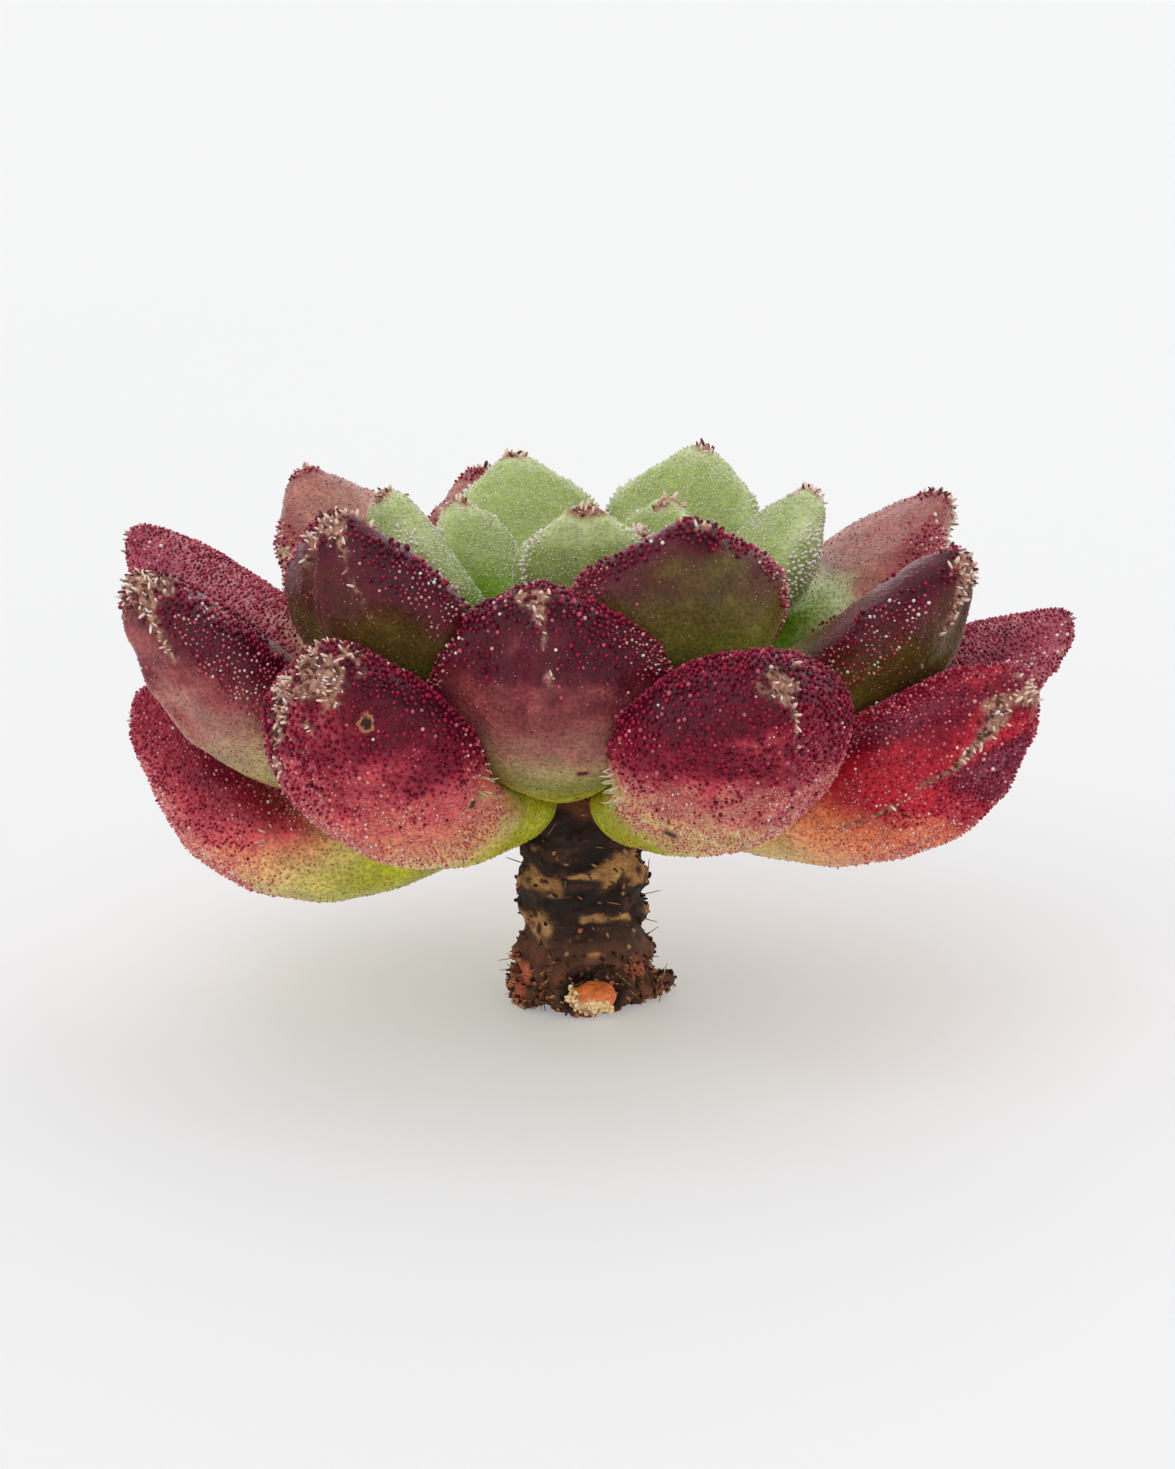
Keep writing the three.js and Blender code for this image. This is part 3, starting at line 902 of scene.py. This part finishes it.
def build_stem(stub_middle):
    """The stem: lumpy bark in rings of leaf scars, above a torn, ragged foot with a hollow round the stub."""
    mesh = even_mesh("stem", STEM_VOXEL)
    relax(mesh, STEM_ROUNDS)
    co, normal = coordinates(mesh), directions(mesh)
    lie = stem_lie(co, normal, stub_middle)
    co = stem_shape(co, normal, lie)
    move(mesh, co)
    shed_bits(mesh, lie["foot"], lie["bare"])
    set_values(mesh, "tint", stem_tint(co, lie["turn"], lie["rings"], lie["stub_hollow_shade"]))
    stem = piece_from("stem_bark", mesh, [bark_material("dry_bark", 0.85, 0.8)])
    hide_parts("stem")


def shed_bits(mesh, foot, bare):
    """Flakes of bark all over the bare stem, and fibres that stick out, most of them round the foot."""
    rng = np.random.default_rng(80)
    spots = sprinkle(mesh, SPOTS_ON_STEM, rng, foot=foot, bare=bare)
    likely = 0.12 * spots["bare"] + 0.6 * spots["foot"]
    spots = rows(spots, (rng.uniform(0, 1, len(likely)) < likely) & (spots["at"][:, 2] > 0.15))
    number = len(spots["at"])
    fibre = rng.uniform(0, 1, number) < 0.1
    pegs = {
        "at": spots["at"],
        "radius": np.where(fibre, 0.03, rng.uniform(0.07, 0.2, number)),
        "length": np.where(fibre, rng.uniform(0.5, 1.5, number), rng.uniform(0.1, 0.34, number)),
        "flat": np.where(fibre, 1.0, 0.35),
        "way": unit(unit(spots["way"]) + rng.normal(0, 0.55, (number, 3)) + (0, 0, -0.2)),
        "finish": choose(rng, number, {"dark": 5, "soil": 6, "tan": 2.5, "rosy": 1.4}, BIT_NAMES),
    }
    pegs["finish"][fibre] = choose(rng, fibre.sum(), {"tan": 3, "soil": 2, "dark": 1}, BIT_NAMES)
    peg_piece("stem_flakes", pegs, BIT_MATERIALS)


def stub_crumbs(mesh, low):
    """Crumbs of pith on the front of the stub's lower half."""
    rng = np.random.default_rng(90)
    spots = sprinkle(mesh, SPOTS_ON_STUB, rng, low=low)
    ragged = noise(spots["at"], 0.7, 64) > -0.25
    spots = rows(spots, (spots["low"] > 0.6) & (spots["way"][:, 1] < 0.1) & ragged)
    number = len(spots["at"])
    pegs = {
        "at": spots["at"],
        "way": unit(unit(spots["way"]) + rng.normal(0, 0.6, (number, 3))),
        "radius": rng.uniform(0.06, 0.22, number),
        "length": rng.uniform(0.12, 0.34, number),
        "flat": np.full(number, 0.6),
        "finish": choose(rng, number, {"crumb": 8, "tan": 2, "rosy": 1}, BIT_NAMES),
    }
    peg_piece("root_stub_crumbs", pegs, BIT_MATERIALS)


def build_stub():
    """The root stub: a torn orange dome with pale pith on its lower half. Hands back its middle."""
    mesh = even_mesh("root_stub", STUB_VOXEL)
    relax(mesh, STUB_ROUNDS)
    co, normal = coordinates(mesh), directions(mesh)
    middle = co.mean(axis=0)
    co = middle + (co - middle) * STUB_TRIM
    drop = middle - co
    low = smooth(drop[:, 2] + 0.45 * drop[:, 0] - 0.05 + 0.4 * noise(co, 0.7, 62), -0.1, 0.2)
    rough = 0.12 * noise(co, 0.9, 60) + (0.06 + 0.16 * low) * noise(co, 0.3, 61) + 0.12 * low
    co = co + normal * rough[:, None]
    co[:, 2] = np.maximum(co[:, 2], 0.02)
    move(mesh, co)
    stub_crumbs(mesh, low)
    set_values(mesh, "tint", tinted(np.tile(linear(HUES["pith"]), (len(co), 1)), "crumb", low))
    stub = piece_from("root_stub_pith", mesh, [bark_material("torn_pith", 0.6, 0.5)])
    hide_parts("root_stub")
    return middle


# ---------------------------------------------------------------- stage


def build_floor():
    half = FLOOR_SIZE / 2
    corners = [(-half, -half, 0), (half, -half, 0), (half, half, 0), (-half, half, 0)]
    mesh = bpy.data.meshes.new("floor")
    mesh.from_pydata(corners, [], [(0, 1, 2, 3)])
    mesh.materials.append(floor_material())
    floor = bpy.data.objects.new("floor", mesh)
    bpy.context.scene.collection.objects.link(floor)


def add_sun(name, strength, width, azimuth, elevation):
    """A soft light from far away. Angles are in degrees: azimuth 0 is behind the camera, 90 to the right."""
    light = bpy.data.lights.new(name, "SUN")
    light.energy = strength
    light.angle = math.radians(width)
    lamp = bpy.data.objects.new(name, light)
    a, e = math.radians(azimuth), math.radians(elevation)
    towards = Vector((math.sin(a) * math.cos(e), -math.cos(a) * math.cos(e), math.sin(e)))
    lamp.rotation_euler = towards.to_track_quat("Z", "Y").to_euler()
    bpy.context.scene.collection.objects.link(lamp)


def build_light():
    """A light from the front left, one from behind, and a dome that is brightest at the horizon."""
    add_sun("key", strength=0.85, width=60, azimuth=-30, elevation=52)
    add_sun("back", strength=1.25, width=80, azimuth=165, elevation=52)
    world = bpy.data.worlds.new("studio")
    world.use_nodes = True
    nodes, link = world.node_tree.nodes, world.node_tree.links.new
    height = nodes.new("ShaderNodeSeparateXYZ")
    link(nodes.new("ShaderNodeTexCoord").outputs["Generated"], height.inputs[0])
    dome = nodes.new("ShaderNodeMapRange")
    link(height.outputs["Z"], dome.inputs["Value"])
    set_inputs(dome, {"From Min": 0.0, "From Max": 0.7, "To Min": 1.35, "To Max": 0.5})
    nodes["Background"].inputs["Color"].default_value = (0.97, 0.98, 1.0, 1)
    link(dome.outputs["Result"], nodes["Background"].inputs["Strength"])
    bpy.context.scene.world = world
    bpy.context.scene.view_settings.view_transform = "Standard"


def build_camera():
    camera = bpy.data.objects.new("camera", bpy.data.cameras.new("camera"))
    camera.data.lens = CAMERA_LENS
    camera.data.sensor_width = SENSOR_WIDTH
    camera.data.clip_start = 0.01
    camera.data.clip_end = 20
    target = Vector((AXIS_X + TARGET_RIGHT, AXIS_Y, TARGET_HEIGHT)) * MM
    elevation = math.radians(CAMERA_ELEVATION)
    camera.location = target + CAMERA_DISTANCE * Vector((0, -math.cos(elevation), math.sin(elevation)))
    camera.rotation_euler = (target - camera.location).to_track_quat("-Z", "Y").to_euler()
    bpy.context.scene.collection.objects.link(camera)
    bpy.context.scene.camera = camera


build_camera()
build_floor()
build_light()
build_stem(build_stub())
for order, leaf in enumerate(LEAVES):
    build_leaf(leaf, LEAF_SEED + SEEDS_PER_LEAF * order)

bpy.context.view_layer.update()
